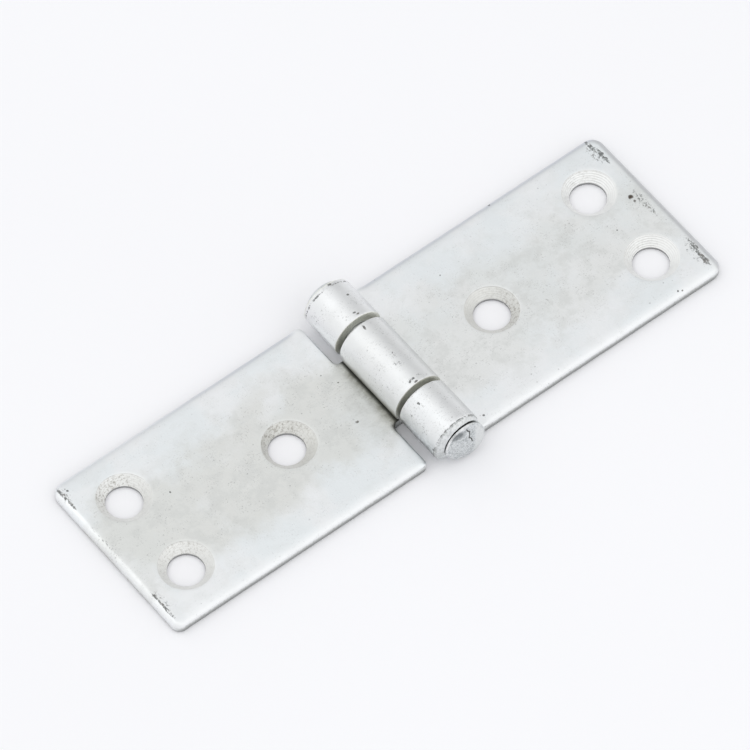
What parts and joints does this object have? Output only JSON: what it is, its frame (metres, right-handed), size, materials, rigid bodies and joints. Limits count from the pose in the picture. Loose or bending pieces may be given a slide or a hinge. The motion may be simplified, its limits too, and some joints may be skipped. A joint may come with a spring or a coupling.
{
  "type": "strap hinge",
  "caption": "Flat two-leaf strap hinge with rolled barrel, riveted pin and countersunk screw holes, zinc-plated steel",
  "frame": {"origin": "on the mounting plane, straight below the pin axis and halfway along the barrel", "axes": "+X along the strap towards the leaf with two knuckles, +Y along the pin, +Z away from the mounting surface, on the barrel side"},
  "size_m": [0.1, 0.0334, 0.0083],
  "materials": {
    "zinc_leaf": "bright zinc plate, satin, slightly cloudy",
    "zinc_pin": "bright zinc plate over a hammered, pitted rivet head"
  },
  "bodies": {
    "fixed_leaf": {"leaf_two_knuckle": "zinc_leaf", "hinge_pin": "zinc_pin"},
    "moving_leaf": {"leaf_one_knuckle": "zinc_leaf"}
  },
  "joints": [
    {"name": "hinge_turn", "type": "hinge", "parent": "fixed_leaf", "child": "moving_leaf", "pos_m": [0, 0, 0.00415], "axis": [0, 1, 0], "range_deg": [-97, 185]}
  ]
}
